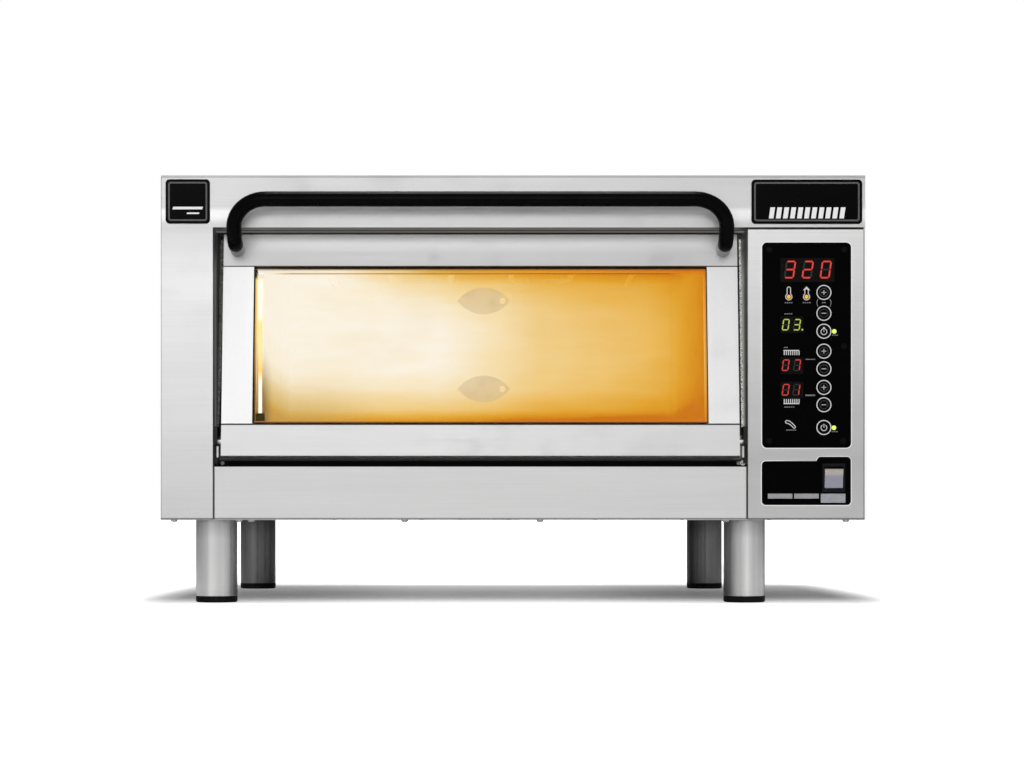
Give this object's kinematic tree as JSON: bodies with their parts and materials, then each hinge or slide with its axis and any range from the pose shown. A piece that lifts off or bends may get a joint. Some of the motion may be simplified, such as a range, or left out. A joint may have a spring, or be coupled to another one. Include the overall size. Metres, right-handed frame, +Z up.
{
  "type": "countertop pizza oven",
  "caption": "Electric countertop deck oven with a leaning drop-down glass door, bar handle, keypad column with displays and rocker switch, on four tubular legs.",
  "frame": {"origin": "on the surface that the feet stand on, at the middle of the whole object's box", "axes": "+X to the right seen from the front, the door faces -Y, +Z up"},
  "size_m": [0.7, 0.6414, 0.4255],
  "materials": {
    "casing_steel": "brushed stainless steel",
    "door_steel": "brushed stainless steel",
    "bay_steel": "dull steel in shadow",
    "leg_steel": "satin steel tube",
    "chamber_steel": "heat-tinted steel",
    "gasket": "woven fibre braid",
    "insulation": "mineral fibre blanket",
    "stone": "fired clay",
    "element": "oxidised heater sheath",
    "lamp_glass": "warm lit glass",
    "bright_metal": "bright plated",
    "bracket_black": "black",
    "foot_rubber": "black rubber",
    "badge_black": "gloss black with a grey line",
    "overlay_black": "gloss black",
    "display_lens": "smoked red lens",
    "status_green": "lit yellow-green lens",
    "board_green": "circuit board",
    "key_black": "gloss black with a white ring",
    "switch_black": "black nylon",
    "rocker_silver": "pale grey gloss",
    "electric_grey": "grey thermoplastic",
    "core_iron": "varnished core",
    "terminal_ivory": "ivory thermoplastic",
    "gland_black": "black polyamide",
    "door_glass": "clear tempered glass",
    "grip_black": "gloss black coated tube",
    "spacer_steel": "bare metal"
  },
  "bodies": {
    "root": {"front_panel": "casing_steel", "column_panel": "casing_steel", "sill_panel": "casing_steel", "top_cover": "casing_steel", "left_side_panel": "casing_steel", "right_side_panel": "casing_steel", "rear_panel": "casing_steel", "base_plate": "casing_steel", "bay_liner": "bay_steel", "throat_plate": "bay_steel", "heat_shield": "bay_steel", "stone_ledges": "bay_steel", "element_supports": "bay_steel", "leg_tubes": "leg_steel", "chamber_shell": "chamber_steel", "wall_covers": "chamber_steel", "door_gasket": "gasket", "insulation_blanket": "insulation", "insulation_slabs": "insulation", "hearth_stone": "stone", "heating_elements": "element", "lamp_tube": "lamp_glass", "lamp_sockets": "bright_metal", "thermocouple": "bright_metal", "leg_bolts": "bright_metal", "casing_screws": "bright_metal", "hinge_brackets": "bracket_black", "leg_feet": "foot_rubber", "series_badge": "badge_black", "name_badge": "badge_black", "control_overlay": "overlay_black", "switch_plate": "overlay_black", "temperature_display": "display_lens", "zone_displays": "display_lens", "status_lamps": "status_green", "control_board": "board_green", "switch_housing": "switch_black", "contactors": "electric_grey", "transformer": "core_iron", "terminal_block": "terminal_ivory", "cable_gland": "gland_black"},
    "door": {"door_top_rail": "door_steel", "door_bottom_rail": "door_steel", "door_stiles": "door_steel", "door_inner_frame": "bay_steel", "outer_glass": "door_glass", "inner_glass": "door_glass", "hinge_pins": "bright_metal", "handle": "grip_black", "handle_spacers": "spacer_steel"},
    "key_temp_up": {"key_temp_up": "key_black"},
    "key_temp_down": {"key_temp_down": "key_black"},
    "key_timer": {"key_timer": "key_black"},
    "key_top_up": {"key_top_up": "key_black"},
    "key_top_down": {"key_top_down": "key_black"},
    "key_bottom_up": {"key_bottom_up": "key_black"},
    "key_bottom_down": {"key_bottom_down": "key_black"},
    "key_power": {"key_power": "key_black"},
    "main_rocker": {"main_rocker": "rocker_silver"}
  },
  "joints": [
    {"name": "door_hinge", "type": "hinge", "parent": "root", "child": "door", "pos_m": [-0.0325, -0.26931, 0.1613], "axis": [1, 0, 0], "range_deg": [0, 97.5]},
    {"name": "key_temp_up_press", "type": "slide", "parent": "root", "child": "key_temp_up", "axis": [0, 1, 0], "range_m": [0, 0.0006], "stiffness_N_per_m": 800},
    {"name": "key_temp_down_press", "type": "slide", "parent": "root", "child": "key_temp_down", "axis": [0, 1, 0], "range_m": [0, 0.0006], "stiffness_N_per_m": 800},
    {"name": "key_timer_press", "type": "slide", "parent": "root", "child": "key_timer", "axis": [0, 1, 0], "range_m": [0, 0.0006], "stiffness_N_per_m": 800},
    {"name": "key_top_up_press", "type": "slide", "parent": "root", "child": "key_top_up", "axis": [0, 1, 0], "range_m": [0, 0.0006], "stiffness_N_per_m": 800},
    {"name": "key_top_down_press", "type": "slide", "parent": "root", "child": "key_top_down", "axis": [0, 1, 0], "range_m": [0, 0.0006], "stiffness_N_per_m": 800},
    {"name": "key_bottom_up_press", "type": "slide", "parent": "root", "child": "key_bottom_up", "axis": [0, 1, 0], "range_m": [0, 0.0006], "stiffness_N_per_m": 800},
    {"name": "key_bottom_down_press", "type": "slide", "parent": "root", "child": "key_bottom_down", "axis": [0, 1, 0], "range_m": [0, 0.0006], "stiffness_N_per_m": 800},
    {"name": "key_power_press", "type": "slide", "parent": "root", "child": "key_power", "axis": [0, 1, 0], "range_m": [0, 0.0006], "stiffness_N_per_m": 800},
    {"name": "main_rocker_tilt", "type": "hinge", "parent": "root", "child": "main_rocker", "pos_m": [0.3183, -0.28231, 0.125], "axis": [-1, 0, 0], "range_deg": [0, 24]}
  ]
}
